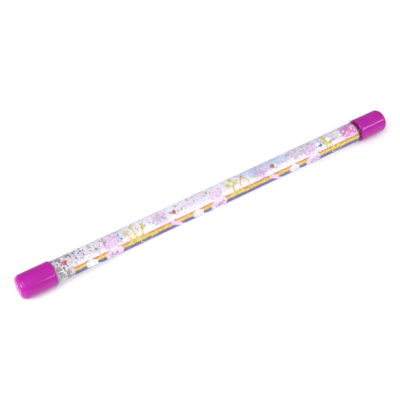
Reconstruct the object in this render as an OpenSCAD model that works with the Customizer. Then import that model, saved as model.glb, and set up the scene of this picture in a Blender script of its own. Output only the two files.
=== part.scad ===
// Liquid-filled glitter baton: a clear tube in a printed film, plugged at both ends, with
// soft bumper caps. The tube's axis is X, and the origin is the balance point at its middle.

/* [Tube] */
// Overall length over both end caps
baton_length = 400; // [320:5:480]
// Outer diameter of the clear tube
tube_od = 20; // [18:0.5:24]
// Wall thickness of the clear tube
tube_wall = 1.5; // [1.2:0.1:2]
// Chamfer inside each end of the tube, which holds the sealant
tube_chamfer = 0.7; // [0.4:0.1:1]

/* [Printed film] */
// Thickness of the printed film that is shrunk round the tube
film_wall = 0.1; // [0.05:0.05:0.2]
// Length of film that is tucked under each cap
film_tuck = 8; // [4:1:12]

/* [End caps] */
// Length of each end cap
cap_length = 33; // [28:1:40]
// Wall thickness of the cap's skirt
cap_wall = 1.4; // [1:0.1:2]
// Thickness of the cap's closed end
cap_floor = 2.5; // [2:0.1:4]
// Corner radius round the cap's closed end
cap_corner_r = 5.5; // [4:0.5:6]
// Edge radius round the cap's open mouth
cap_lip_r = 1; // [0.3:0.1:1]

/* [Plugs] */
// Length of the plug's stem inside the tube
plug_stem = 12; // [10:1:16]
// Thickness of the plug's flange, which closes the tube's end
plug_flange = 2; // [1.5:0.1:3]
// Number of sealing ribs round the stem
plug_ribs = 3; // [2:1:4]
// Height of each sealing rib above the stem
plug_rib_h = 0.6; // [0.4:0.1:0.8]
// Radius of the plug's hollow core
plug_core_r = 5; // [3:0.5:6]

/* [Fine glitter] */
// Width of one fine glitter flake across its corners
flake_w = 1.6; // [0.8:0.1:1.8]
// Thickness of a flake
flake_t = 0.12; // [0.1:0.01:0.2]
// Number of flakes of all four colours
flake_count = 240; // [60:1:260]
// How far the flakes have gathered towards the left end, from 0 (not at all)
flake_crowding = 0.4; // [0:0.05:0.45]

/* [Loose confetti] */
// Diameter of a round sequin
sequin_d = 3.2; // [2.5:0.1:3.6]
// Diameter of the hole in a sequin
sequin_hole_d = 0.8; // [0.5:0.1:1]
// Number of round sequins
sequin_count = 9; // [3:1:12]
// Width of a six-sided hologram chip across its corners
chip_w = 2.6; // [2:0.1:3.2]
// Number of hologram chips
chip_count = 12; // [3:1:14]
// Thickness of a sequin or a chip
confetti_t = 0.2; // [0.15:0.01:0.3]

/* [Hidden] */
$fn = 96;

tube_r = tube_od / 2;
bore_r = tube_r - tube_wall;
film_r = tube_r + film_wall;
cap_r = film_r + cap_wall;
half = baton_length / 2;
plug_face = half - cap_floor;              // outer face of the plug's flange
tube_end = plug_face - plug_flange;        // where the tube ends
plug_nose = tube_end - plug_stem;          // where the water starts
cap_mouth = half - cap_length;
film_end = cap_mouth + film_tuck;

water_gap = 0.05;                          // running clearance of the water in the bore
cavity_gap = 0.12;                         // room for loose confetti in the water
lane_r = 5.9;                              // loose confetti keeps inside this radius
lane_gap = 0.4;                            // from the plane between the lanes to the confetti
lane_turn = 102;                           // turns the two lanes above and below the axis
lane_fill = 0.95;                          // share of a lane's height that is used
confetti_tilt = 35;                        // how far a loose piece tips from flat
glitter_r0 = 6.9;                          // fine glitter hangs between these radii
glitter_r1 = bore_r - 0.9;
glitter_end = plug_nose - 4;               // and between these two ends

golden = 137.508;                          // degrees between one flake and the next
wander_deg = 9;                            // how far a flake strays from its own spot
wander_x = 1.2;
flake_roll = 25;                           // how far a flake tilts, two ways
flake_pitch = 35;
plug_core_floor = 2;                       // closed nose of the plug's stem
rib_w = 1;                                 // run-up of a sealing rib
cut = 1;                                   // how far a cutting shape reaches past the part

// Lengthwise places of the two kinds of loose confetti at rest
sequin_span = [62, 152];
chip_span = [-164, -74];

// One value in 0..1 for item i of a series, spread evenly by a step that never repeats.
// Each quantity below has a step of its own, so that no two of them keep time.
function spread(i, step) = let(v = 0.31 + i * step) v - floor(v);

// The same between -1 and 1
function sway(i, step) = 2 * spread(i, step) - 1;

// Everything below stands along Z first, then lies down along X
module lay_along_x() rotate([0, 90, 0]) children();

// A copy for the left end, made from the right one
module at_left_end() mirror([1, 0, 0]) children();

// Half section of a disc of radius r from y0 to y1, rounded by rc at y1 and by rl at y0
module rounded_section(r, y0, y1, rc, rl) {
    translate([0, y0]) square([r - rl, y1 - y0 - rc]);
    translate([0, y0]) square([r - rc, y1 - y0]);
    translate([0, y0 + rl]) square([r, y1 - y0 - rl - rc]);
    translate([r - rc, y1 - rc]) circle(rc);
    translate([r - rl, y0 + rl]) circle(rl);
}

module clear_tube() {
    color("ghostwhite", 0.35) lay_along_x() difference() {
        translate([0, 0, -tube_end]) cylinder(r = tube_r, h = 2 * tube_end);
        translate([0, 0, -tube_end - cut]) cylinder(r = bore_r, h = 2 * (tube_end + cut));
        for (end = [0, 1]) mirror([0, 0, end])
            translate([0, 0, tube_end - tube_chamfer])
                cylinder(r1 = bore_r, r2 = bore_r + tube_chamfer, h = tube_chamfer);
    }
}

module printed_film() {
    color("thistle", 0.5) lay_along_x() difference() {
        translate([0, 0, -film_end]) cylinder(r = film_r, h = 2 * film_end);
        translate([0, 0, -film_end - cut]) cylinder(r = tube_r, h = 2 * (film_end + cut));
    }
}

// Soft bumper cap: closed and rounded outside, with a bore that grips the wrapped tube
module cap() {
    color("mediumvioletred") lay_along_x() difference() {
        rotate_extrude() intersection() {
            rounded_section(cap_r, cap_mouth, half, cap_corner_r, cap_lip_r);
            square([cap_r + cut, half + cut]);
        }
        translate([0, 0, cap_mouth - cut]) cylinder(r = film_r, h = cap_length - cap_floor + cut);
    }
}

module right_cap() cap();
module left_cap() at_left_end() cap();

// Soft stopper: a flange over the tube's end and a hollow stem with sealing ribs
module plug() {
    stem_r = bore_r - plug_rib_h;
    rib_pitch = plug_stem / (plug_ribs + 1);
    color("whitesmoke") lay_along_x() difference() {
        union() {
            translate([0, 0, tube_end]) cylinder(r = tube_r, h = plug_flange);
            translate([0, 0, plug_nose]) cylinder(r = stem_r, h = plug_stem + plug_flange / 2);
            for (i = [1 : plug_ribs]) translate([0, 0, plug_nose + i * rib_pitch]) {
                cylinder(r = bore_r, h = rib_w / 2);
                translate([0, 0, -rib_w]) cylinder(r1 = stem_r, r2 = bore_r, h = rib_w);
            }
        }
        translate([0, 0, plug_nose + plug_core_floor])
            cylinder(r = plug_core_r, h = plug_stem + plug_flange);
    }
}

module right_plug() plug();
module left_plug() at_left_end() plug();

// Ring of sealant in the tube's end chamfer, under the plug's flange
module sealant() {
    stem_r = bore_r - plug_rib_h;
    color("lightyellow", 0.8) lay_along_x() difference() {
        translate([0, 0, tube_end - tube_chamfer])
            cylinder(r1 = bore_r, r2 = bore_r + tube_chamfer, h = tube_chamfer);
        translate([0, 0, tube_end - tube_chamfer - cut])
            cylinder(r = stem_r, h = tube_chamfer + 2 * cut);
    }
}

module right_sealant() sealant();
module left_sealant() at_left_end() sealant();

// Puts item i of a series of loose confetti at its own place in its lane, tilted its own way.
// side is -1 for the lower lane and 1 for the upper one.
module in_lane(i, count, span, side, size) {
    x = span[0] + (span[1] - span[0]) * (i + 0.5) / count;
    room = lane_r - size / 2;
    nearest = size / 2 + lane_gap;
    y = side * (nearest + (room - nearest) * lane_fill * spread(i, 0.45));
    z = sway(i, 0.618034) * sqrt(room * room - y * y) * lane_fill;
    rotate([lane_turn, 0, 0]) translate([x, y, z])
        rotate([360 * spread(i, 0.23), confetti_tilt * sway(i, 0.57), 0]) children();
}

module sequin(grow) {
    cylinder(d = sequin_d + 2 * grow, h = confetti_t + 2 * grow, center = true);
}

module chip(grow) {
    cylinder(d = chip_w + 3 * grow, h = confetti_t + 2 * grow, center = true, $fn = 6);
}

module each_sequin() {
    for (i = [0 : sequin_count - 1]) in_lane(i, sequin_count, sequin_span, 1, sequin_d) children();
}

module each_chip() {
    for (i = [0 : chip_count - 1]) in_lane(i, chip_count, chip_span, -1, chip_w) children();
}

module round_sequins() {
    color("silver") each_sequin() difference() {
        sequin(0);
        cylinder(d = sequin_hole_d, h = confetti_t + cut, center = true);
    }
}

module hologram_chips() color("mediumaquamarine") each_chip() chip(0);

// The water between the two plugs, with a hollow round each loose piece
module water_fill() {
    water_half = plug_nose - water_gap;
    color("azure", 0.3) difference() {
        lay_along_x() translate([0, 0, -water_half])
            cylinder(r = bore_r - water_gap, h = 2 * water_half);
        each_sequin() sequin(cavity_gap);
        each_chip() chip(cavity_gap);
    }
}

// Colour of flake k: 0 silver, 1 charcoal, 2 pink, 3 lilac. Charcoal gathers at the left end.
function flake_colour(k) =
    let(pick = spread(k, 0.7549), charcoal_share = 0.45 - 0.35 * k / flake_count)
    pick < 0.3 ? 0 : pick < 0.3 + charcoal_share ? 1 : pick < 0.85 ? 2 : 3;

// Fine glitter of one colour: six-sided flakes hung on a golden spiral near the bore's wall,
// each a little off its spot and tilted its own way
module glitter(colour) {
    for (k = [0 : flake_count - 1]) if (flake_colour(k) == colour) {
        u = (k + 0.5) / flake_count;
        along = 2 * (u - flake_crowding * u * (1 - u)) - 1;
        r = glitter_r0 + (glitter_r1 - glitter_r0) * spread(k, 0.4142);
        translate([along * glitter_end + wander_x * sway(k, 0.2361), 0, 0])
            rotate([golden * k + wander_deg * sway(k, 0.3028), 0, 0]) translate([0, 0, r])
                rotate([flake_roll * sway(k, 0.6458), flake_pitch * sway(k, 0.8284), 60 * spread(k, 0.1623)])
                    cylinder(d = flake_w, h = flake_t, center = true, $fn = 6);
    }
}

module silver_glitter() color("lightgray") glitter(0);
module charcoal_glitter() color("dimgray") glitter(1);
module pink_glitter() color("hotpink") glitter(2);
module lilac_glitter() color("mediumpurple") glitter(3);

clear_tube();
printed_film();
left_cap();
right_cap();
left_plug();
right_plug();
left_sealant();
right_sealant();
water_fill();
silver_glitter();
charcoal_glitter();
pink_glitter();
lilac_glitter();
round_sequins();
hologram_chips();
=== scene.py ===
import math
import random

import bmesh
import bpy
from mathutils import Euler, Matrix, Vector


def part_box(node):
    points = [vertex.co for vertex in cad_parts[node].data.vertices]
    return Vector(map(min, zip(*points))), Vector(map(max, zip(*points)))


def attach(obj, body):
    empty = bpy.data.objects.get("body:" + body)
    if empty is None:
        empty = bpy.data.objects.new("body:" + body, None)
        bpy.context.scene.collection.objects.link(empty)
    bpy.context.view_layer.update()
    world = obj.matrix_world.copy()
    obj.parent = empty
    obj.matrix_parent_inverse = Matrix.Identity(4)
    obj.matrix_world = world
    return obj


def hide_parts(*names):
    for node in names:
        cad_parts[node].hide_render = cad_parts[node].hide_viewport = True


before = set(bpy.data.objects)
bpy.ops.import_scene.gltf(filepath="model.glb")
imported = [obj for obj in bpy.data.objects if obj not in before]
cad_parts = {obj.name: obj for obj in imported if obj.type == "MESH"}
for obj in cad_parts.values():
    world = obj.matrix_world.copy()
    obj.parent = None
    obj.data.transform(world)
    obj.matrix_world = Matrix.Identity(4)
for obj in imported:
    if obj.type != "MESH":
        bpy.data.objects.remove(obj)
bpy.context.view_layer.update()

# A liquid-filled glitter baton: clear tube in a printed film, water with glitter, and two soft
# caps. The tube's axis is X. Lengths below are in metres unless a name or comment says mm.
MM = 0.001
HAIR = 0.03 * MM  # a gap or overlap that is too small to see, so that no two surfaces coincide


def top_of(node, axis):
    """How far a CAD node reaches along an axis (0, 1 or 2 for X, Y or Z)."""
    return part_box(node)[1][axis]


# Sizes that come from the frame
HALF = top_of("right_cap", 0)
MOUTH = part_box("right_cap")[0].x
CAP_R = top_of("right_cap", 2)
CAP_FLOOR = HALF - top_of("right_plug", 0)
TUBE_R = top_of("clear_tube", 2)
TUBE_END = top_of("clear_tube", 0)
FILM_R = top_of("printed_film", 2)
FILM_END = top_of("printed_film", 0)
PLUG_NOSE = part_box("right_plug")[0].x
BORE_R = top_of("water_fill", 2) + 0.05 * MM  # the CAD's water clears the bore by this much


# ---------------------------------------------------------------- mesh helpers


def finish_mesh(name, bm, material, sharp_deg=35):
    """Turns a bmesh into an object with smooth faces and edges that stay sharp past an angle."""
    bmesh.ops.recalc_face_normals(bm, faces=bm.faces)
    for face in bm.faces:
        face.smooth = True
    for edge in bm.edges:
        flat = len(edge.link_faces) == 2 and edge.calc_face_angle() < math.radians(sharp_deg)
        edge.smooth = flat
    mesh = bpy.data.meshes.new(name)
    bm.to_mesh(mesh)
    bm.free()
    mesh.materials.append(material)
    piece = bpy.data.objects.new(name, mesh)
    bpy.context.scene.collection.objects.link(piece)
    return piece


def arc(cx, cy, r, start_deg, end_deg, steps):
    """Points along an arc, both ends included."""
    turns = [math.radians(start_deg + (end_deg - start_deg) * i / steps) for i in range(steps + 1)]
    return [(cx + r * math.cos(t), cy + r * math.sin(t)) for t in turns]


def lathe(name, outline, material, steps=256):
    """A solid turned about the X axis from a closed outline of (x, radius) points."""
    bm = bmesh.new()
    rings = []
    for x, r in outline:
        if r == 0:
            rings.append([bm.verts.new((x, 0, 0))])
            continue
        turns = [2 * math.pi * k / steps for k in range(steps)]
        rings.append([bm.verts.new((x, r * math.cos(t), r * math.sin(t))) for t in turns])
    for a, b in zip(rings, rings[1:] + rings[:1]):
        if len(a) == 1 and len(b) == 1:
            continue
        for k in range(steps):
            n = (k + 1) % steps
            corners = [a[k % len(a)], b[k % len(b)], b[n % len(b)], a[n % len(a)]]
            bm.faces.new(list(dict.fromkeys(corners)))
    return finish_mesh(name, bm, material)


# ---------------------------------------------------------------- materials


def linear(rgb):
    """A screen colour of 0 to 255 as linear RGBA."""
    scaled = [c / 255 for c in rgb]
    return [c / 12.92 if c <= 0.04045 else ((c + 0.055) / 1.055) ** 2.4 for c in scaled] + [1]


class Look:
    """A Principled material and short calls for the nodes that feed it."""

    def __init__(self, name, **sockets):
        self.material = bpy.data.materials.new(name)
        self.material.use_nodes = True
        self.tree = self.material.node_tree
        self.shader = self.tree.nodes["Principled BSDF"]
        for socket, value in sockets.items():
            self.shader.inputs[socket.replace("_", " ")].default_value = value

    def node(self, kind, **settings):
        made = self.tree.nodes.new(kind)
        for setting, value in settings.items():
            setattr(made, setting, value)
        return made

    def link(self, source, target):
        self.tree.links.new(source, target)

    def noise(self, scale, detail=3, stretch=(1, 1, 1)):
        """Noise in object space, of scale cycles per metre, which stretch multiplies by axis."""
        place = self.node("ShaderNodeTexCoord")
        mapping = self.node("ShaderNodeMapping")
        mapping.inputs["Scale"].default_value = stretch
        noise = self.node("ShaderNodeTexNoise")
        noise.inputs["Scale"].default_value = scale
        noise.inputs["Detail"].default_value = detail
        self.link(place.outputs["Object"], mapping.inputs["Vector"])
        self.link(mapping.outputs["Vector"], noise.inputs["Vector"])
        return noise.outputs["Fac"]

    def island(self):
        """A random value for each separate flake of a mesh."""
        return self.node("ShaderNodeNewGeometry").outputs["Random Per Island"]

    def ramp(self, source, stops, constant=False):
        """Colours by value: stops are (position, screen colour)."""
        ramp = self.node("ShaderNodeValToRGB")
        if constant:
            ramp.color_ramp.interpolation = "CONSTANT"
        marks = ramp.color_ramp.elements
        while len(marks) < len(stops):
            marks.new(0.5)
        for mark, (position, rgb) in zip(marks, stops):
            mark.position = position
            mark.color = linear(rgb)
        self.link(source, ramp.inputs["Fac"])
        return ramp.outputs["Color"]

    def spread(self, source, low, high, from_low=0.3, from_high=0.7):
        """Maps a value onto a range of numbers."""
        remap = self.node("ShaderNodeMapRange")
        for socket, value in (("From Min", from_low), ("From Max", from_high),
                              ("To Min", low), ("To Max", high)):
            remap.inputs[socket].default_value = value
        self.link(source, remap.inputs["Value"])
        return remap.outputs["Result"]

    def feed(self, socket, source):
        self.link(source, self.shader.inputs[socket])

    def bump(self, source, height, strength=1.0):
        """Bump of the given height in metres, on top of any bump already there."""
        bump = self.node("ShaderNodeBump")
        bump.inputs["Distance"].default_value = height
        bump.inputs["Strength"].default_value = strength
        self.link(source, bump.inputs["Height"])
        before = self.shader.inputs["Normal"].links
        if before:
            self.link(before[0].from_socket, bump.inputs["Normal"])
        self.feed("Normal", bump.outputs["Normal"])


def vinyl():
    """Glossy magenta-purple vinyl with a slight mottle and a moulded surface's faint waves."""
    look = Look("cap_vinyl", IOR=1.38)
    mottle = look.noise(90, 4)
    look.feed("Base Color", look.ramp(mottle, [(0.3, (155, 11, 133)), (0.7, (168, 17, 149))]))
    look.feed("Roughness", look.spread(look.noise(400, 3), 0.1, 0.18))
    look.bump(look.noise(1400, 2), 0.01 * MM, 0.4)
    look.bump(look.noise(110, 2), 0.03 * MM, 0.2)
    return look.material


def clear_plastic():
    """The tube: clear, with faint drawn lines along its length."""
    look = Look("clear_tube_plastic", Transmission_Weight=1, IOR=1.49,
                Base_Color=(0.98, 0.985, 1, 1))
    look.feed("Roughness", look.spread(look.noise(300, 2), 0.0, 0.03))
    look.bump(look.noise(60, 2, (0.15, 1, 1)), 0.01 * MM, 0.3)
    return look.material


def clear_film():
    """The film between the printed shapes: nearly clear, with patches of pale tint."""
    look = Look("film_plastic", Alpha=0.11, IOR=1.5, Coat_Weight=0.5, Coat_Roughness=0.05)
    wash = look.noise(26, 2, (1, 1.6, 1.6))
    look.feed("Base Color", look.ramp(wash, [(0.3, (196, 186, 226)), (0.45, (246, 246, 248)),
                                             (0.58, (238, 222, 236)), (0.72, (172, 196, 238))]))
    look.feed("Roughness", look.spread(look.noise(500, 2), 0.08, 0.18))
    return look.material


def water_look():
    """Nearly colourless water."""
    look = Look("water", Transmission_Weight=1, IOR=1.33, Base_Color=(0.985, 0.99, 1, 1))
    look.feed("Roughness", look.spread(look.noise(200, 1), 0.0, 0.01))
    return look.material


def ink(name, rgb, deeper, alpha=1.0, gloss=0.5):
    """Glossy printing ink: close tones in coarse and fine mottling."""
    look = Look(name, Alpha=alpha, Specular_IOR_Level=gloss, Coat_Weight=0.6 * gloss,
                Coat_Roughness=0.08)
    paler = tuple(round(c + (255 - c) * 0.22) for c in rgb)
    stops = [(0.36, deeper), (0.52, rgb), (0.66, paler)]
    look.feed("Base Color", look.ramp(look.noise(420, 5), stops))
    look.feed("Roughness", look.spread(look.noise(1500, 2), 0.25, 0.4))
    look.bump(look.noise(2500, 2), 0.004 * MM, 0.5)
    return look.material


def foil(name, tones, metallic=0.85, roughness=(0.12, 0.3), coat=0.4, gloss=0.5):
    """Cut foil: each flake takes one of the tones, and the gloss varies over it."""
    look = Look(name, Metallic=metallic, Specular_IOR_Level=gloss, Coat_Weight=coat,
                Coat_Roughness=0.05)
    stops = [(i / len(tones), tone) for i, tone in enumerate(tones)]
    look.feed("Base Color", look.ramp(look.island(), stops, constant=True))
    look.feed("Roughness", look.spread(look.noise(3000, 2), *roughness))
    return look.material


def soft_rubber(name, rgb, deeper):
    """Matt rubber in two close tones with a fine grain."""
    look = Look(name)
    look.feed("Base Color", look.ramp(look.noise(300, 4), [(0.35, deeper), (0.65, rgb)]))
    look.feed("Roughness", look.spread(look.noise(700, 3), 0.45, 0.65))
    look.bump(look.noise(1800, 2), 0.02 * MM, 0.5)
    return look.material


# ---------------------------------------------------------------- shell: caps, tube, film, plugs


def cap_outline():
    """Outline of the right cap, as (x, radius): closed end, skirt, mouth, bore and floor."""
    corner = 5.5 * MM  # rounding of the closed end
    lip_length, lip_depth, lip_inner = 2.2 * MM, 1.1 * MM, 0.25 * MM  # roundings of the mouth
    gate_r, gate_depth, gate_slope = 1.5 * MM, 0.25 * MM, 0.2 * MM  # dimple in the closed end
    bore, floor = FILM_R + 0.02 * MM, HALF - CAP_FLOOR
    points = [(HALF - gate_depth, 0), (HALF - gate_depth, gate_r - gate_slope), (HALF, gate_r)]
    points += arc(HALF - corner, CAP_R - corner, corner, 0, 90, 14)
    lip = arc(0, 0, 1, 90, 180, 10)
    points += [(MOUTH + lip_length * (1 + x), CAP_R + lip_depth * (r - 1)) for x, r in lip]
    points += arc(MOUTH + lip_inner, bore + lip_inner, lip_inner, 180, 270, 3)
    points += [(floor, bore), (floor, 0)]
    return points


def mirrored(outline):
    """The same outline at the other end of the tube."""
    return [(-x, r) for x, r in outline]


def make_caps():
    """Two alike caps, one at each end."""
    material = vinyl()
    for side, outline in (("right", cap_outline()), ("left", mirrored(cap_outline()))):
        cap = lathe(f"bumper_cap_{side}", outline, material)
        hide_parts(f"{side}_cap")
        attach(cap, "shell")


def make_tube():
    """The tube. Like the film and the water, it casts no shadow, which would grey the glitter."""
    chamfer = 0.7 * MM
    end = TUBE_END
    outline = [(-end, BORE_R + chamfer), (-end, TUBE_R), (end, TUBE_R), (end, BORE_R + chamfer),
               (end - chamfer, BORE_R), (chamfer - end, BORE_R)]
    tube = lathe("tube_glass_clear", outline, clear_plastic())
    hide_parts("clear_tube")
    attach(tube, "shell")
    tube.visible_shadow = False


def make_film():
    """The clear sleeve that carries the print and runs on under both caps."""
    inner = TUBE_R + HAIR
    outline = [(-FILM_END, inner), (-FILM_END, FILM_R), (FILM_END, FILM_R), (FILM_END, inner)]
    film = lathe("film_sleeve", outline, clear_film())
    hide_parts("printed_film")
    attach(film, "shell")
    film.visible_shadow = False


def make_water():
    """The water reaches just into the tube's wall, so that no air is left between them."""
    water_r, water_end = BORE_R + HAIR, PLUG_NOSE - 0.05 * MM
    outline = [(-water_end, 0), (-water_end, water_r), (water_end, water_r), (water_end, 0)]
    water = lathe("water_column", outline, water_look())
    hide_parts("water_fill")
    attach(water, "water")
    water.visible_shadow = False


def dress_node(node, material):
    """Gives a CAD node that stays visible a finished material."""
    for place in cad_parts[node].material_slots:
        place.material = material


# ---------------------------------------------------------------- print on the film

# Flat shapes are drawn in mm as (x, a): x along the tube, and a round it, upwards from the
# front. They become thin raised layers that wrap round the film.
# FIRST_LAYER_MM is the gap under the lowest layer, LAYER_MM the step from one layer to the next,
# INK_MM a layer's thickness, and FACET_MM the width of the strips that are cut before bending.
FIRST_LAYER_MM = 0.01
LAYER_MM = 0.02
INK_MM = 0.014
FACET_MM = 0.6
MOUTH_MM = MOUTH / MM


def cut_off(outline, limit, side):
    """The part of an outline whose side * x is below a limit."""
    kept = []
    for (x0, a0), (x1, a1) in zip(outline, outline[1:] + outline[:1]):
        inside0, inside1 = side * x0 < limit, side * x1 < limit
        if inside0:
            kept.append((x0, a0))
        if inside0 != inside1:
            share = (side * limit - x0) / (x1 - x0)
            kept.append((side * limit, a0 + share * (a1 - a0)))
    return kept


class Print:
    """All the flat shapes of one ink, on one layer."""

    def __init__(self, name, material, layer):
        self.name, self.material = name, material
        self.low = FIRST_LAYER_MM + LAYER_MM * layer
        self.bm = bmesh.new()

    def shape(self, outline):
        """Adds a filled outline, cut off where it would run under a cap."""
        limit = MOUTH_MM - 0.1
        outline = cut_off(cut_off(outline, limit, 1), limit, -1)
        if len(outline) < 3:
            return
        new = self.bm.verts.new
        bottom = [new((x, a, self.low)) for x, a in outline]
        top = [new((x, a, self.low + INK_MM)) for x, a in outline]
        faces = [self.bm.faces.new(reversed(bottom)), self.bm.faces.new(top)]
        for i in range(len(outline)):
            n = (i + 1) % len(outline)
            self.bm.faces.new((bottom[i], bottom[n], top[n], top[i]))
        bmesh.ops.triangulate(self.bm, faces=faces)

    def ring(self, outer, inner):
        """Adds a band between two outlines with the same number of points."""
        for i in range(len(outer)):
            n = (i + 1) % len(outer)
            self.shape([outer[i], outer[n], inner[n], inner[i]])

    def wrap(self):
        """Cuts the shapes into narrow strips, bends them round the film and returns the piece."""
        arcs = [v.co.y for v in self.bm.verts]
        first, last = math.floor(min(arcs) / FACET_MM), math.ceil(max(arcs) / FACET_MM)
        for step in range(first + 1, last):
            everything = self.bm.verts[:] + self.bm.edges[:] + self.bm.faces[:]
            bmesh.ops.bisect_plane(self.bm, geom=everything, plane_co=(0, step * FACET_MM, 0),
                                   plane_no=(0, 1, 0), dist=1e-5)
        for v in self.bm.verts:
            turn = v.co.y * MM / FILM_R
            r = FILM_R + v.co.z * MM
            v.co = Vector((v.co.x * MM, -r * math.cos(turn), r * math.sin(turn)))
        piece = finish_mesh(self.name, self.bm, self.material)
        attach(piece, "shell")
        return piece


def turned(points, x, a, turn_deg=0):
    """Points round the origin, turned and moved to (x, a)."""
    c, s = math.cos(math.radians(turn_deg)), math.sin(math.radians(turn_deg))
    return [(x + px * c - pa * s, a + px * s + pa * c) for px, pa in points]


def oval(x, a, rx, ra=None, turn_deg=0, steps=32):
    """An ellipse, or a circle if it has one radius."""
    ra = rx if ra is None else ra
    turns = [2 * math.pi * k / steps for k in range(steps)]
    return turned([(rx * math.cos(t), ra * math.sin(t)) for t in turns], x, a, turn_deg)


def lobed(x, a, rx, ra, lobes, depth, turn_deg=0, steps=120):
    """A closed outline with round lobes: a puff of cloud, or a flower."""
    points = []
    for k in range(steps):
        t = 2 * math.pi * k / steps
        r = 1 - depth + depth * abs(math.cos(lobes * t / 2))
        points.append((rx * r * math.cos(t), ra * r * math.sin(t)))
    return turned(points, x, a, turn_deg)


def star(x, a, r, points=5, inner=0.42, turn_deg=0):
    """A star whose inner corners reach a share of its radius."""
    outline = []
    for k in range(2 * points):
        t = math.pi * k / points + math.pi / 2
        reach = r if k % 2 == 0 else r * inner
        outline.append((reach * math.cos(t), reach * math.sin(t)))
    return turned(outline, x, a, turn_deg)


def heart(x, a, size, turn_deg=0, steps=40):
    """The usual heart curve, which is 32 wide before it is scaled to size."""
    points = []
    for k in range(steps):
        t = 2 * math.pi * k / steps
        across = 16 * math.sin(t) ** 3
        up = 13 * math.cos(t) - 5 * math.cos(2 * t) - 2 * math.cos(3 * t) - math.cos(4 * t)
        points.append((across * size / 32, up * size / 32))
    return turned(points, x, a, turn_deg)


# The art repeats along the tube. The numbers inside a motif are mm from the motif's own place.
FRONT, BACK = 0, 1
PERIOD = 109.0          # mm from one blossom cloud to the next
FIRST_CLOUD = -2.6      # mm, the cloud nearest the middle
BACK_ART = 29.7         # mm round the tube from the front rainbow to the back one
RAINBOW_START = -151.0  # mm, where the front rainbow sets in beside the left cap
PRINT_END = MOUTH_MM - 0.15  # where the stripes and the milky band end beside a cap
RAINBOW_TOP = 5.4       # mm round the tube, where the gold figures stand
# name, screen colour, deeper tone, and lower and upper edge in mm round the tube
STRIPES = [
    ("red", (196, 98, 60), (170, 74, 50), 4.65, RAINBOW_TOP),
    ("orange", (208, 152, 52), (190, 128, 40), 3.45, 4.6),
    ("yellow", (208, 186, 76), (186, 160, 52), 1.5, 3.4),
    ("green", (124, 136, 76), (100, 116, 62), 0.3, 1.45),
    ("blue", (62, 50, 142), (52, 40, 122), -1.45, 0.25),
    ("violet", (88, 48, 140), (74, 38, 122), -5.9, -1.5),
]


def crown(inks, x, a):
    """A plain three-pronged crown that stands on the rainbow, with oval rings beside it."""
    gold, light = inks["gold"], inks["light_gold"]
    base = a + RAINBOW_TOP
    prongs = ((-4.8, 7.4, 16), (0.0, 11.4, 2), (6.4, 7.6, -20))
    for dx, height, lean in prongs:
        stem = [(-1.5, 0), (1.5, 0), (0.8, height * 0.5), (0.6, height),
                (-0.6, height), (-0.8, height * 0.5)]
        gold.shape(turned(stem, x + dx, base, lean))
        tip = turned([(0, height + 1.2)], x + dx, base, lean)[0]
        light.shape(lobed(*tip, 1.9, 2.2, 4, 0.24, lean))
        gold.shape(oval(tip[0], tip[1] + 2.7, 0.45, steps=12))
    rim_left, rim_width, steps = -7.2, 16, 12
    sag = [(rim_left + rim_width * k / steps, 1.5 - 0.7 * math.sin(math.pi * k / steps))
           for k in range(steps + 1)]
    light.shape(turned([(rim_left, 0)] + sag + [(rim_left + rim_width, 0)], x, a + 3.7))
    gold.ring(oval(x + 9.5, a + 0.2, 6.4, 4.1), oval(x + 9.5, a + 0.2, 5.2, 2.9))
    gold.ring(oval(x + 18.5, a + 2.4, 4.0, 2.4), oval(x + 18.5, a + 2.4, 3.0, 1.5))


def lily(inks, x, a):
    """A three-leaved gold lily on the rainbow, and a tall oval hoop beside it."""
    gold, light = inks["gold"], inks["light_gold"]
    base = a + RAINBOW_TOP
    gold.shape([(x - 1.3, base - 3.4), (x + 1.3, base - 3.4),
                (x + 0.8, base + 7), (x - 0.8, base + 7)])
    leaves = ((0.8, 13.2, 1.8, 3.2, -8), (-3.6, 8.0, 1.8, 2.6, 24), (4.2, 8.0, 1.7, 2.6, -30))
    for dx, da, rx, ra, turn_deg in leaves:
        light.shape(oval(x + dx, base + da, rx, ra, turn_deg, 24))
    light.shape(oval(x, base - 1.6, 5.4, 1.5, steps=24))
    gold.ring(oval(x + 12.5, a + 8.0, 5.2, 7.4), oval(x + 12.5, a + 8.0, 3.9, 5.9))
    inks["coral"].shape(oval(x + 12.5, a + 16.4, 1.0, steps=14))


def wand(inks, x, a):
    """A tall gold column with a leafy top, a slanting stroke and an oval ring at its foot."""
    gold, light = inks["gold"], inks["light_gold"]
    column = [(-1.2, 5.0), (1.2, 5.0), (1.8, 17.0), (-1.8, 17.0)]
    stroke = [(0.4, 12.6), (2.0, 13.4), (10.2, 1.2), (8.6, 0.4)]
    light.shape(turned(column, x, a))
    light.shape(lobed(x - 0.6, a + 18.4, 2.4, 3.4, 4, 0.24, 10))
    gold.shape(turned(stroke, x, a))
    gold.ring(oval(x + 10.6, a + 1.0, 6.4, 3.9), oval(x + 10.6, a + 1.0, 5.3, 2.8))


def flower(petals, heart_ink, x, a, r, turn_deg):
    """Five separate petals round a centre dot."""
    for k in range(5):
        spoke = turn_deg + 72 * k
        middle = turned([(r * 0.64, 0)], x, a, spoke)[0]
        petals.shape(oval(*middle, r * 0.36, r * 0.31, spoke, 20))
    heart_ink.shape(oval(x, a, r * 0.22, steps=14))


def scatter(inks, tints, count, spot, rng, size=(0.25, 0.6)):
    """Dots of the given tints, thrown over a spot of (x, a, x spread, a spread) and kept to it."""
    x, a, x_spread, a_spread = spot
    for _ in range(count):
        dx, da = rng.gauss(0, 0.5), rng.gauss(0, 0.5)
        if dx * dx + da * da < 1:
            dot = oval(x + dx * x_spread, a + da * a_spread, rng.uniform(*size), steps=10)
            inks[rng.choice(tints)].shape(dot)


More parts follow.
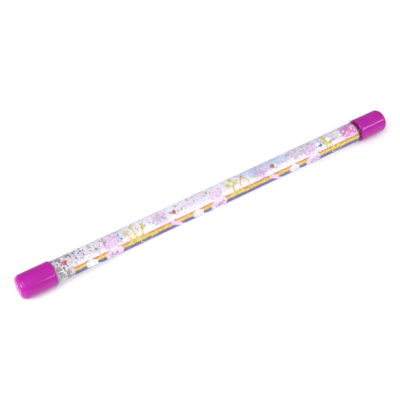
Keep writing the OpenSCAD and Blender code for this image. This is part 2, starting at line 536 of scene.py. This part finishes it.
def blossom_cloud(inks, x, a, rng):
    """A pale puff of cloud over the rainbow, with flowers and specks."""
    inks["cloud"].shape(lobed(x, a + 0.2, 8.8, 6.6, 11, 0.12, 8))
    inks["cloud_high"].shape(lobed(x - 0.5, a + 11.4, 8.0, 4.2, 9, 0.14, 20))
    flowers = ((-4.0, 10.6, 2.3, 12), (3.0, 12.2, 2.5, 40), (-0.8, 7.6, 1.9, 70),
               (-6.0, 3.0, 1.7, 5), (5.6, 1.6, 1.8, 55), (0.5, 15.4, 1.6, 30))
    for dx, da, r, turn_deg in flowers:
        flower(inks["blossom"], inks["blossom_dots"], x + dx, a + da, r, turn_deg)
    specks = ["plum", "blossom_dots", "sky_dots", "plum"]
    scatter(inks, specks, 64, (x, a - 0.6, 7.4, 4.6), rng, (0.3, 0.75))
    scatter(inks, ["blossom_dots", "sky_dots"], 22, (x, a + 12.0, 8.0, 5.0), rng, (0.2, 0.4))


def dotted_patch(inks, x, a, rng):
    """A pink patch full of dots, beside the right cap."""
    inks["patch"].shape(lobed(x, a, 11.5, 6.8, 11, 0.16, 6))
    mixed = ["blossom_dots", "coral_dots", "cloud_dots", "sky_dots"]
    scatter(inks, mixed, 110, (x, a, 10.5, 6.4), rng, (0.35, 0.8))


def small_motifs(inks, x, a, rng):
    """What lies between one blossom cloud and the next: ribbon, heart, puff, stars and dots."""
    ribbon_x = x + 63.0
    if ribbon_x > RAINBOW_START:
        inks["ribbon"].shape(lobed(ribbon_x, a + 1.6, 6.2, 2.9, 2, 0.42, -32))
        inks["ribbon"].shape(lobed(x + 69.5, a - 3.6, 3.8, 2.0, 2, 0.4, -20))
    inks["coral"].shape(heart(x + 64.0, a + 12.4, 5.0, 24))
    inks["puff"].shape(lobed(x + 86.5, a + 0.4, 6.4, 5.0, 6, 0.16, -30))
    inks["puff"].shape(lobed(x + 93.5, a - 4.4, 3.2, 1.8, 5, 0.16, -20))
    stars = ((40.0, 15.5, 1.4), (46.0, 8.4, 1.0), (76.0, 15.5, 1.4), (72.0, 8.6, 1.0),
             (84.0, 12.4, 1.1), (92.0, 8.2, 0.9), (97.0, 14.5, 1.2), (33.0, 19.0, 0.9))
    for dx, da, r in stars:
        inks["sky"].shape(star(x + dx, a + da, r, turn_deg=rng.uniform(0, 72)))
    confetti = ["blossom_dots", "coral_dots", "sky_dots", "blossom_dots"]
    scatter(inks, confetti, 150, (x + 51.0, a + 12.9, 13.0, 7.0), rng, (0.2, 0.45))
    scatter(inks, confetti, 40, (x + 84.0, a + 11.5, 16.0, 6.0), rng, (0.2, 0.45))
    scatter(inks, ["plum", "coral_dots"], 14, (x + 66.0, a + 11.5, 5.0, 4.0), rng)


# name: screen colour, deeper tone, layer, alpha
INKS = {
    "cloud": ((226, 210, 230), (208, 184, 218), 1, 1.0),
    "cloud_high": ((228, 206, 232), (216, 186, 222), 1, 0.3),
    "puff": ((216, 216, 220), (196, 198, 206), 1, 1.0),
    "ribbon": ((230, 186, 222), (214, 166, 212), 1, 1.0),
    "patch": ((230, 146, 204), (214, 122, 190), 1, 0.6),
    "haze": ((172, 190, 218), (156, 174, 210), 0, 0.3),
    # the grey wash below is painted shade: it darkens the upper side of the tube
    "painted_top_shade": ((190, 184, 194), (176, 170, 182), 0, 0.24),
    "milk": ((250, 244, 246), (240, 234, 238), 0, 0.2),
    "gold": ((206, 184, 56), (184, 160, 38), 2, 1.0),
    "light_gold": ((196, 188, 88), (176, 164, 60), 3, 1.0),
    "blossom": ((232, 190, 228), (220, 168, 216), 2, 1.0),
    "blossom_dots": ((222, 120, 196), (204, 92, 176), 3, 1.0),
    "cloud_dots": ((238, 228, 240), (226, 210, 232), 3, 1.0),
    "plum": ((84, 48, 100), (60, 32, 76), 3, 1.0),
    "coral": ((168, 78, 60), (140, 56, 44), 2, 1.0),
    "coral_dots": ((218, 110, 100), (204, 86, 78), 3, 1.0),
    "sky": ((186, 192, 226), (164, 172, 216), 2, 1.0),
    "sky_dots": ((128, 120, 206), (100, 92, 186), 3, 1.0),
}
# The grey wash among these is painted shade on the tube's upper side, not a print colour.
WASHES = ("haze", "painted_top_shade", "milk")  # large pale tints, which cast no shadow on what is inside


def front_only(inks, repeat, x):
    """What only the front has: a gold figure beside each cloud, and two pale washes: a blue one,
    and a grey one that is painted shade on the tube's upper side.
    """
    if repeat < 0:
        crown(inks, x + 22.5, 0)
    elif repeat == 0:
        lily(inks, x + 18.0, 0)
        inks["haze"].shape(lobed(x + 57.0, 16.4, 30.0, 7.2, 9, 0.12))
    elif repeat == 1:
        wand(inks, x + 18.3, 0)
        # painted shade: a grey wash over the upper side of the tube
        inks["painted_top_shade"].shape(lobed(x - 11.0, 15.4, 19.0, 8.0, 9, 0.12))


def draw_motifs(inks):
    """Repeats the art along the tube: on the front, and on the back half a period further on."""
    rng = random.Random(7)
    for side in (FRONT, BACK):
        a = side * BACK_ART
        for repeat in range(-3, 3):
            x = FIRST_CLOUD + PERIOD * (repeat + side / 2)
            blossom_cloud(inks, x, a, rng)
            if side == FRONT and repeat > 0:
                dotted_patch(inks, x + 49.0, a + 13.2, rng)
            small_motifs(inks, x, a, rng)
            if side == FRONT:
                front_only(inks, repeat, x)


def draw_milky_band(band):
    """A milky band with a wavy upper edge, which stands on the front rainbow."""
    foot, crest = 5.5, 9.4
    places = [PRINT_END - k for k in range(int(PRINT_END - RAINBOW_START) + 1)]
    edge = [(x, crest + 0.7 * math.sin(0.31 * x) + 0.5 * math.sin(0.73 * x)) for x in places]
    band.shape([(RAINBOW_START, foot), (PRINT_END, foot)] + edge)


def make_rainbows():
    """The rainbow band along the front, and another along the back."""
    for name, rgb, deeper, low, high in STRIPES:
        stripe = Print(f"print_rainbow_{name}", ink(f"ink_rainbow_{name}", rgb, deeper), 0)
        for side, start in ((FRONT, RAINBOW_START), (BACK, -PRINT_END)):
            a = side * BACK_ART
            stripe.shape([(start, a + low), (PRINT_END, a + low),
                          (PRINT_END, a + high), (start, a + high)])
        stripe.wrap()


def make_painted_mouth_shadow():
    """A painted shadow: a dark crescent, darkest at the edge, on the film where it meets the right
    cap's mouth.
    """
    for name, width, layer, alpha in (("soft", 4.2, 4, 0.35), ("dark", 2.9, 5, 1.0)):
        # dark plum of the painted shadow beside the right cap's mouth, in a soft outer layer and
        # an opaque inner one
        shade = ink(f"ink_painted_mouth_shadow_{name}", (92, 8, 66), (74, 4, 52), alpha, gloss=0.1)
        band = Print(f"print_painted_mouth_shadow_{name}", shade, layer)
        band.shape(oval(PRINT_END, 11.4, width, 13 + width))
        band.wrap()


def make_print():
    """All the printed layers on the film."""
    inks = {name: Print(f"print_{name}", ink(f"ink_{name}", rgb, deeper, alpha), layer)
            for name, (rgb, deeper, layer, alpha) in INKS.items()}
    draw_motifs(inks)
    draw_milky_band(inks["milk"])
    make_rainbows()
    for name, layer in inks.items():
        layer.wrap().visible_shadow = name not in WASHES
    make_painted_mouth_shadow()


# ---------------------------------------------------------------- glitter


FLAKE_THICKNESS = 0.03 * MM


def flake(bm, place, turn, width, sides=6):
    """Adds one flat flake to a mesh."""
    rims = []
    for z in (-FLAKE_THICKNESS / 2, FLAKE_THICKNESS / 2):
        corners = [2 * math.pi * k / sides for k in range(sides)]
        rim = [Vector((width / 2 * math.cos(t), width / 2 * math.sin(t), z)) for t in corners]
        rims.append([bm.verts.new(place + turn @ corner) for corner in rim])
    low, high = rims
    bm.faces.new(reversed(low))
    bm.faces.new(high)
    for k in range(sides):
        n = (k + 1) % sides
        bm.faces.new((low[k], low[n], high[n], high[k]))


def make_dust(name, material, bands, seed):
    """Glitter dust that hangs near the bore's wall, among the CAD model's larger flakes.

    Each band is (count, first x in mm, last x in mm, smallest and largest width in mm).
    """
    dust_r, inner_share = 8.2 * MM, 0.62
    rng = random.Random(seed)
    bm = bmesh.new()
    for count, first, last, small, large in bands:
        for _ in range(count):
            along = rng.uniform(first, last) * MM
            r = dust_r * math.sqrt(rng.uniform(inner_share, 1))
            turn = rng.uniform(0, 2 * math.pi)
            place = Vector((along, r * math.cos(turn), r * math.sin(turn)))
            tilt = Euler([rng.uniform(0, math.pi) for _ in range(3)]).to_matrix()
            flake(bm, place, tilt, rng.uniform(small, large) * MM)
    piece = finish_mesh(name, bm, material)
    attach(piece, "water")


def make_wall_flakes(name, material, groups, seed):
    """Larger flakes that lie against the bore's wall and face outwards, a little tilted.

    Each group is (count, first and last x in mm, lowest and highest angle round the tube in
    degrees, smallest and largest width in mm, sides). The angle is 0 at the front, 90 on top.
    """
    lean = 0.7  # the most that a flake tilts each way, in radians
    deepest, shallowest = 6.9, 7.4  # mm from the tube's axis
    rng = random.Random(seed)
    bm = bmesh.new()
    for count, first, last, low_deg, high_deg, small, large, sides in groups:
        for _ in range(count):
            along = rng.uniform(first, last) * MM
            turn = math.radians(rng.uniform(low_deg, high_deg))
            outwards = Vector((0, -math.cos(turn), math.sin(turn)))
            tilt = Euler([rng.uniform(-lean, lean) for _ in range(2)] + [rng.uniform(0, math.pi)])
            facing = outwards.to_track_quat("Z", "X").to_matrix() @ tilt.to_matrix()
            place = Vector((along, 0, 0)) + outwards * rng.uniform(deepest, shallowest) * MM
            flake(bm, place, facing, rng.uniform(small, large) * MM, sides)
    piece = finish_mesh(name, bm, material)
    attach(piece, "water")


GLITTER_END = PLUG_NOSE / MM - 3  # mm
DUST = {  # flakes all along the tube, and extra ones at its left end
    "silver": (240, 16),
    "charcoal": (90, 64),
    "pink": (120, 22),
    "lilac": (110, 8),
}
HOLOGRAM_DUST = [(34, -GLITTER_END, -151, 1.6, 3.2), (16, -151, -112, 0.8, 2.2)]
BRIGHT_DISCS = [(1, 116.6, 117.2, 76, 78, 3.4, 3.6, 24), (1, 129.8, 130.4, 76, 78, 3.6, 3.8, 24)]
DARK_FLAKES_AND_DISC_SHADE = [
    (20, -150, -98, 55, 115, 1.0, 2.4, 6),
    (20, -GLITTER_END, -150, 20, 125, 1.4, 3.0, 6),
    # The next two groups lie just below the bright discs: dark glitter that also stands in for the
    # shade at the discs' edges, as painted shade.
    (8, 114, 121, 54, 68, 1.6, 2.6, 6),
    (10, 128, 136, 54, 70, 1.6, 2.6, 6),
    (4, 84, 112, 70, 115, 0.8, 1.4, 6),
    (6, -95, -60, 75, 115, 0.8, 1.4, 6),
]
HOLOGRAM_FLAKES = [(12, -GLITTER_END, -151, -10, 42, 1.6, 3.0, 6)]


def dust_bands(everywhere, at_left):
    """Fine dust all along the tube, coarser dust at its left end and a little at its right."""
    return [(everywhere, -GLITTER_END, GLITTER_END, 0.4, 1.2),
            (at_left, -GLITTER_END, -148, 1.3, 3.2),
            (at_left, -150, -98, 0.7, 2.0),
            (at_left // 4, 85, GLITTER_END, 0.7, 2.0)]


def make_glitter():
    """Dresses the CAD model's flakes, sequins and chips, and adds dust and wall flakes."""
    black = [(16, 16, 20), (30, 28, 36), (8, 8, 10), (48, 26, 44)]
    foils = {
        "silver": foil("foil_silver", [(234, 236, 244), (208, 210, 222), (250, 250, 255)],
                       metallic=0.5),
        "charcoal": foil("foil_charcoal", black, metallic=0, roughness=(0.3, 0.5), coat=0,
                         gloss=0.15),
        "pink": foil("foil_pink", [(226, 96, 168), (240, 150, 200), (206, 70, 150)]),
        "lilac": foil("foil_lilac", [(160, 130, 220), (130, 150, 226), (190, 160, 236)]),
    }
    for order, (colour, material) in enumerate(foils.items()):
        dress_node(f"{colour}_glitter", material)
        bands = dust_bands(*DUST[colour])
        make_dust(f"dust_{colour}", material, bands, seed=20 + order)
    white = [(254, 254, 255), (248, 250, 252), (252, 250, 248)]
    sequin = foil("foil_sequin", white, metallic=0.1)
    dress_node("round_sequins", sequin)
    flashes = [(70, 128, 70), (150, 34, 66), (118, 24, 70), (60, 110, 120), (176, 60, 70)]
    hologram = foil("foil_hologram", flashes, metallic=0.2, coat=0.1, gloss=0.3)
    dress_node("hologram_chips", hologram)
    make_wall_flakes("wall_flakes_bright", sequin, BRIGHT_DISCS, seed=41)
    make_wall_flakes("wall_flakes_dark_and_disc_shade", foils["charcoal"], DARK_FLAKES_AND_DISC_SHADE, seed=42)
    make_wall_flakes("wall_flakes_hologram", hologram, HOLOGRAM_FLAKES, seed=43)
    make_dust("dust_hologram", hologram, HOLOGRAM_DUST, seed=30)


def dress_ends():
    """Gives the plugs and the sealant, which the caps hide, their materials."""
    for side in ("left", "right"):
        plug = soft_rubber(f"plug_rubber_{side}", (232, 230, 224), (214, 210, 202))
        dress_node(f"{side}_plug", plug)
        sealant = soft_rubber(f"sealant_{side}", (240, 236, 222), (226, 220, 200))
        dress_node(f"{side}_sealant", sealant)


# ---------------------------------------------------------------- stage


def make_stage():
    """A plain pale floor that the baton lies on."""
    bpy.ops.mesh.primitive_plane_add(size=30, location=(0, 0, -CAP_R))
    floor = bpy.context.object
    floor.name = "floor"
    look = Look("floor", Base_Color=(0.96, 0.96, 0.96, 1), Roughness=0.9)
    floor.data.materials.append(look.material)


def area_light(name, place, size, power, target=(0, 0, 0)):
    """A rectangular lamp of a power in watts, aimed at a target."""
    light = bpy.data.lights.new(name, "AREA")
    light.shape = "RECTANGLE"
    light.size, light.size_y = size
    light.energy = power
    lamp = bpy.data.objects.new(name, light)
    lamp.location = place
    lamp.rotation_euler = (Vector(target) - Vector(place)).to_track_quat("-Z", "Y").to_euler()
    bpy.context.scene.collection.objects.link(lamp)


def make_lights():
    """A studio that is brighter above and in front than behind, with three soft lamps.

    The top lamp is the main light. The strip draws the thin line of light along both caps, and
    the left strip the bright spot on the left cap's closed end.
    """
    world = bpy.data.worlds.new("studio")
    bpy.context.scene.world = world
    world.use_nodes = True
    tree = world.node_tree
    backdrop = tree.nodes["Background"]
    backdrop.inputs["Color"].default_value = (0.96, 0.96, 1, 1)
    direction = tree.nodes.new("ShaderNodeTexCoord")
    slope = tree.nodes.new("ShaderNodeVectorMath")
    slope.operation = "DOT_PRODUCT"
    slope.inputs[1].default_value = (0, -0.6, 0.8)  # forwards and up
    brightness = tree.nodes.new("ShaderNodeMapRange")
    for socket, value in (("From Min", -0.7), ("From Max", 1), ("To Min", 0.32), ("To Max", 0.86)):
        brightness.inputs[socket].default_value = value
    tree.links.new(direction.outputs["Generated"], slope.inputs[0])
    tree.links.new(slope.outputs["Value"], brightness.inputs["Value"])
    tree.links.new(brightness.outputs["Result"], backdrop.inputs["Strength"])
    area_light("top", (-0.7, -0.45, 1.4), (1.3, 0.9), 10.5)
    area_light("strip", (0.5, -0.86, 0.54), (1.05, 0.05), 3.8)
    area_light("left_strip", (-1.15, 0.05, 0.42), (0.7, 0.09), 9, (-0.19, 0, 0))


def make_camera():
    """The photograph's view, from a fit of the baton's outline.

    The camera looks past the baton's middle: aim_right and aim_up shift it sideways and up.
    """
    azimuth, elevation = math.radians(-32.709), math.radians(46.538)
    distance, aim_right, aim_up, view_deg = 0.8105, -0.01465, -0.00333, 25.79
    back = Vector((math.sin(azimuth) * math.cos(elevation),
                   -math.cos(azimuth) * math.cos(elevation), math.sin(elevation)))
    right = Vector((math.cos(azimuth), math.sin(azimuth), 0))
    up = back.cross(right)
    data = bpy.data.cameras.new("camera")
    data.sensor_width = 36
    data.lens = data.sensor_width / 2 / math.tan(math.radians(view_deg) / 2)
    data.clip_start, data.clip_end = 0.01, 20
    camera = bpy.data.objects.new("camera", data)
    camera.location = back * distance + right * aim_right + up * aim_up
    camera.rotation_mode = "QUATERNION"
    camera.rotation_quaternion = (-back).to_track_quat("-Z", "Y")
    bpy.context.scene.collection.objects.link(camera)
    bpy.context.scene.camera = camera


make_caps()
make_tube()
make_film()
make_water()
make_print()
make_glitter()
dress_ends()
make_stage()
make_lights()
make_camera()
bpy.context.scene.view_settings.view_transform = "Standard"
